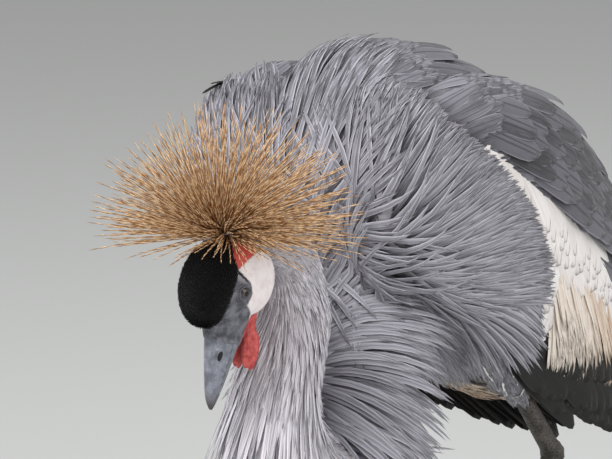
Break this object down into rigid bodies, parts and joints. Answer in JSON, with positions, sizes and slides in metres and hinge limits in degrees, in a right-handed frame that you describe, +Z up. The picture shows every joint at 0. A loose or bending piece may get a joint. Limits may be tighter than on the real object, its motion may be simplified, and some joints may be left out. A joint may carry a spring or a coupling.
{
  "type": "grey crowned crane",
  "caption": "Life-size grey crowned crane standing with its neck curved down, head low in front of the breast and straw crest spread; a still natural-history figure.",
  "frame": {"origin": "centre of the figure's box on the floor it stands on", "axes": "the bird's body faces -Y, its left side is +X, +Z is up"},
  "size_m": [0.2535, 0.8344, 0.5499],
  "materials": {
    "grey_plumage": "soft matte feathers, dove grey with paler edges",
    "velvet_black": "short velvety black plush",
    "wing_white": "soft matte feathers, warm white",
    "wattle_red": "soft wrinkled skin, satin",
    "crest_straw": "stiff straw-gold bristles, matte",
    "bill_slate": "horn, satin, slate grey",
    "leg_grey": "scaly skin, matte, dark brown grey",
    "eye_grey": "wet gloss",
    "tail_black": "smooth black feathers, faint sheen"
  },
  "bodies": {
    "root": {"torso": "grey_plumage", "neck_upper": "grey_plumage", "neck_middle": "grey_plumage", "neck_lower": "grey_plumage", "head": "velvet_black", "eye_left": "eye_grey", "eye_right": "eye_grey", "bill_upper": "bill_slate", "bill_lower": "bill_slate", "crest": "crest_straw", "wattle": "wattle_red", "wing_left": "wing_white", "wing_right": "wing_white", "tail": "tail_black", "thigh_left": "grey_plumage", "shank_left": "leg_grey", "tarsus_left": "leg_grey", "foot_left": "leg_grey", "thigh_right": "grey_plumage", "shank_right": "leg_grey", "tarsus_right": "leg_grey", "foot_right": "leg_grey"}
  },
  "joints": []
}
